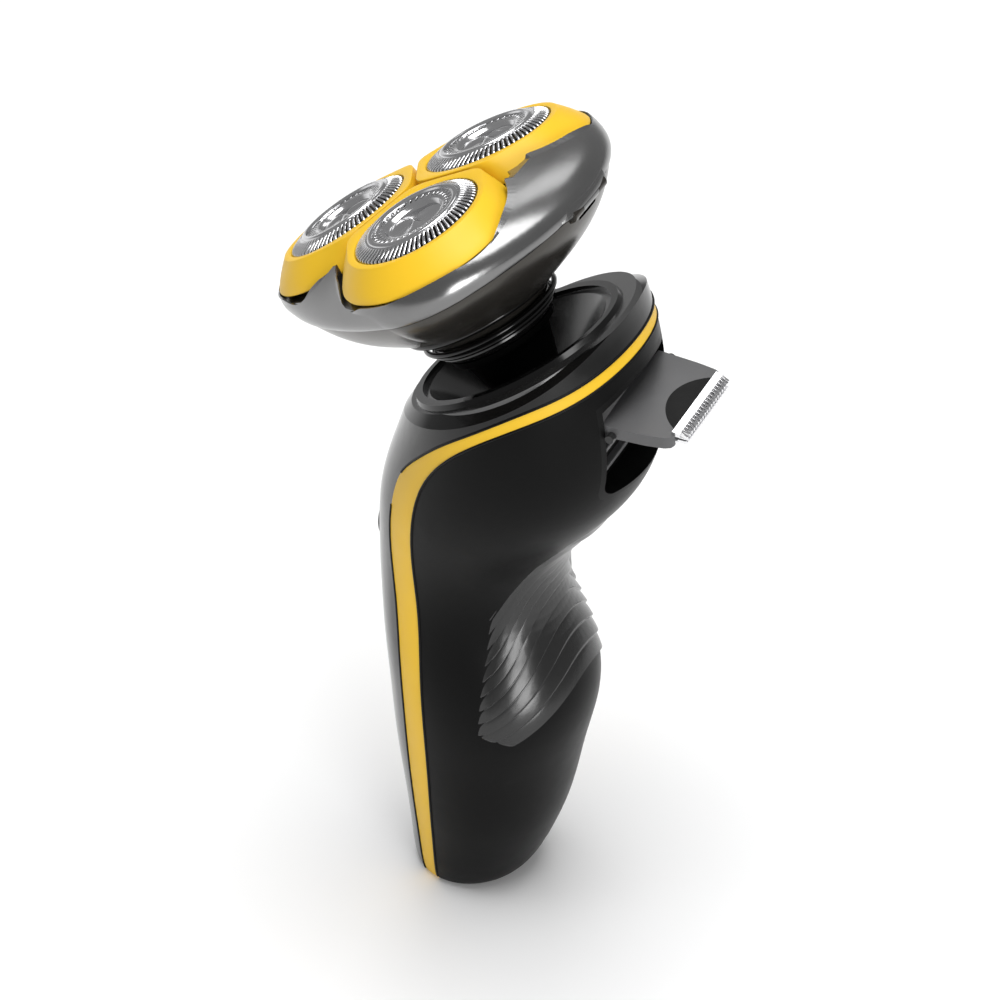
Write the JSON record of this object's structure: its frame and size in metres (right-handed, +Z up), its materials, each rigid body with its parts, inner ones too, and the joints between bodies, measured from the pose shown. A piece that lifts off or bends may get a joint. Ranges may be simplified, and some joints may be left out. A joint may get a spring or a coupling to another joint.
{
  "type": "rotary shaver",
  "caption": "Cordless rotary shaver with a tilting three-lobed cutting head on a narrow neck, a waisted handle and a flip-out trimmer at the back.",
  "frame": {"origin": "centre of the flat base the handle stands on", "axes": "+Z up along the handle, -Y the front with the power button, +X to the right of someone facing the front"},
  "size_m": [0.0664, 0.0839, 0.1659],
  "materials": {
    "gloss_black": "high gloss, moulded ABS",
    "satin_black": "soft satin, fine spark texture",
    "yellow_gloss": "satin gloss, dyed through",
    "head_gunmetal": "lacquered, high gloss",
    "head_lower": "lacquered, dark bronze-black",
    "collar_black": "polished",
    "bay_black": "fine matt",
    "flap_grey": "satin grey",
    "foil_steel": "polished, etched slots",
    "cutter_steel": "ground",
    "blade_steel": "ground and polished edge",
    "pin_steel": "drawn wire",
    "motor_can": "zinc plated",
    "gear_nylon": "natural acetal",
    "frame_nylon": "glass-filled nylon",
    "board_green": "solder mask",
    "cell_wrap": "shrink sleeve",
    "switch_metal": "stamped",
    "brass_pin": "plated",
    "lens_clear": "light guide"
  },
  "bodies": {
    "handle": {"front_cover": "gloss_black", "accent_stripe": "yellow_gloss", "rear_casing": "satin_black", "trimmer_bay": "bay_black", "base_cap": "satin_black", "charge_socket": "gloss_black", "charge_pin": "brass_pin", "deck_bowl": "gloss_black", "deck_ring": "gloss_black", "neck_post": "satin_black", "drive_motor": "motor_can", "motor_plate": "switch_metal", "battery_cell": "cell_wrap", "circuit_board": "board_green", "inner_frame": "frame_nylon", "tact_switch": "switch_metal", "indicator_lens": "lens_clear", "trimmer_pin": "pin_steel", "base_screws": "pin_steel"},
    "neck_collar": {"middle_collar": "collar_black"},
    "head_base": {"lower_shell": "head_lower", "ball_cup": "frame_nylon", "gear_plate": "frame_nylon", "head_hinge_pin": "pin_steel"},
    "head_top": {"upper_shell": "head_gunmetal"},
    "motor_rotor": {"drive_shaft": "pin_steel"},
    "sun": {"sun_pinion": "gear_nylon"},
    "power_key": {"power_button": "satin_black"},
    "release_key": {"release_button": "satin_black"},
    "trimmer": {"trimmer_flap": "flap_grey", "trimmer_inset": "bay_black", "trimmer_comb": "blade_steel"},
    "trimmer_cutter": {"trimmer_blade": "blade_steel"},
    "petal_unit_back_right": {"petal_back_right": "yellow_gloss", "foil_back_right": "foil_steel"},
    "cutter_unit_back_right": {"cutter_back_right": "cutter_steel"},
    "gear_unit_back_right": {"driven_gear_back_right": "gear_nylon"},
    "petal_unit_back_left": {"petal_back_left": "yellow_gloss", "foil_back_left": "foil_steel"},
    "cutter_unit_back_left": {"cutter_back_left": "cutter_steel"},
    "gear_unit_back_left": {"driven_gear_back_left": "gear_nylon"},
    "petal_unit_front": {"petal_front": "yellow_gloss", "foil_front": "foil_steel"},
    "cutter_unit_front": {"cutter_front": "cutter_steel"},
    "gear_unit_front": {"driven_gear_front": "gear_nylon"}
  },
  "joints": [
    {"name": "neck_pitch", "type": "hinge", "parent": "handle", "child": "neck_collar", "pos_m": [0, -0.001, 0.1393], "axis": [1, 0, 0], "range_deg": [-7, 7], "stiffness_Nm_per_rad": 3},
    {"name": "neck_rock", "type": "hinge", "parent": "neck_collar", "child": "head_base", "pos_m": [0, -0.001, 0.1393], "axis": [0, 0.8387, 0.5446], "range_deg": [-7, 7], "stiffness_Nm_per_rad": 3},
    {"name": "head_flip", "type": "hinge", "parent": "head_base", "child": "head_top", "pos_m": [0, 0.02257, 0.16176], "axis": [-1, 0, 0], "range_deg": [0, 100]},
    {"name": "drive_spin", "type": "hinge", "parent": "handle", "child": "motor_rotor", "pos_m": [0, 0.01643, 0.11247], "axis": [0, -0.5446, 0.8387], "continuous": true},
    {"name": "sun_spin", "type": "hinge", "parent": "head_base", "child": "sun", "pos_m": [0, -0.00296, 0.14232], "axis": [0, -0.5446, 0.8387], "continuous": true},
    {"name": "gear_spin_back_right", "type": "hinge", "parent": "head_base", "child": "gear_unit_back_right", "pos_m": [0.01429, 0.00396, 0.14682], "axis": [0, -0.5446, 0.8387], "continuous": true},
    {"name": "petal_rock_back_right", "type": "hinge", "parent": "head_top", "child": "petal_unit_back_right", "pos_m": [0.01441, -0.00165, 0.15559], "axis": [-0.5, 0.7263, 0.4717], "range_deg": [-2.5, 2.5], "stiffness_Nm_per_rad": 0.6},
    {"name": "cutter_spin_back_right", "type": "hinge", "parent": "petal_unit_back_right", "child": "cutter_unit_back_right", "pos_m": [0.01452, -0.00236, 0.15679], "axis": [0.0785, -0.5044, 0.8599], "continuous": true},
    {"name": "gear_spin_back_left", "type": "hinge", "parent": "head_base", "child": "gear_unit_back_left", "pos_m": [-0.01429, 0.00396, 0.14682], "axis": [0, -0.5446, 0.8387], "continuous": true},
    {"name": "petal_rock_back_left", "type": "hinge", "parent": "head_top", "child": "petal_unit_back_left", "pos_m": [-0.01441, -0.00165, 0.15559], "axis": [-0.5, -0.7263, -0.4717], "range_deg": [-2.5, 2.5], "stiffness_Nm_per_rad": 0.6},
    {"name": "cutter_spin_back_left", "type": "hinge", "parent": "petal_unit_back_left", "child": "cutter_unit_back_left", "pos_m": [-0.01452, -0.00236, 0.15679], "axis": [-0.0785, -0.5044, 0.8599], "continuous": true},
    {"name": "gear_spin_front", "type": "hinge", "parent": "head_base", "child": "gear_unit_front", "pos_m": [0, -0.0168, 0.13334], "axis": [0, -0.5446, 0.8387], "continuous": true},
    {"name": "petal_rock_front", "type": "hinge", "parent": "head_top", "child": "petal_unit_front", "pos_m": [0, -0.02258, 0.142], "axis": [1, 0, 0], "range_deg": [-2.5, 2.5], "stiffness_Nm_per_rad": 0.6},
    {"name": "cutter_spin_front", "type": "hinge", "parent": "petal_unit_front", "child": "cutter_unit_front", "pos_m": [0, -0.02345, 0.1431], "axis": [0, -0.6184, 0.7859], "continuous": true},
    {"name": "power_press", "type": "slide", "parent": "handle", "child": "power_key", "axis": [0, 1, 0], "range_m": [0, 0.0008], "stiffness_N_per_m": 400},
    {"name": "release_press", "type": "slide", "parent": "head_base", "child": "release_key", "axis": [0, 0.8387, 0.5446], "range_m": [0, 0.0008], "stiffness_N_per_m": 400},
    {"name": "trimmer_flip", "type": "hinge", "parent": "handle", "child": "trimmer", "pos_m": [0, 0.034, 0.1222], "axis": [-1, 0, 0], "range_deg": [0, 90]},
    {"name": "trimmer_stroke", "type": "slide", "parent": "trimmer", "child": "trimmer_cutter", "axis": [1, 0, 0], "range_m": [-0.0009, 0.0009], "stiffness_N_per_m": 60}
  ],
  "couplings": [
    {"joint": "sun_spin", "follows": "drive_spin", "ratio": 1},
    {"joint": "gear_spin_back_right", "follows": "drive_spin", "ratio": -0.5},
    {"joint": "cutter_spin_back_right", "follows": "drive_spin", "ratio": -0.5},
    {"joint": "gear_spin_back_left", "follows": "drive_spin", "ratio": -0.5},
    {"joint": "cutter_spin_back_left", "follows": "drive_spin", "ratio": -0.5},
    {"joint": "gear_spin_front", "follows": "drive_spin", "ratio": -0.5},
    {"joint": "cutter_spin_front", "follows": "drive_spin", "ratio": -0.5}
  ]
}
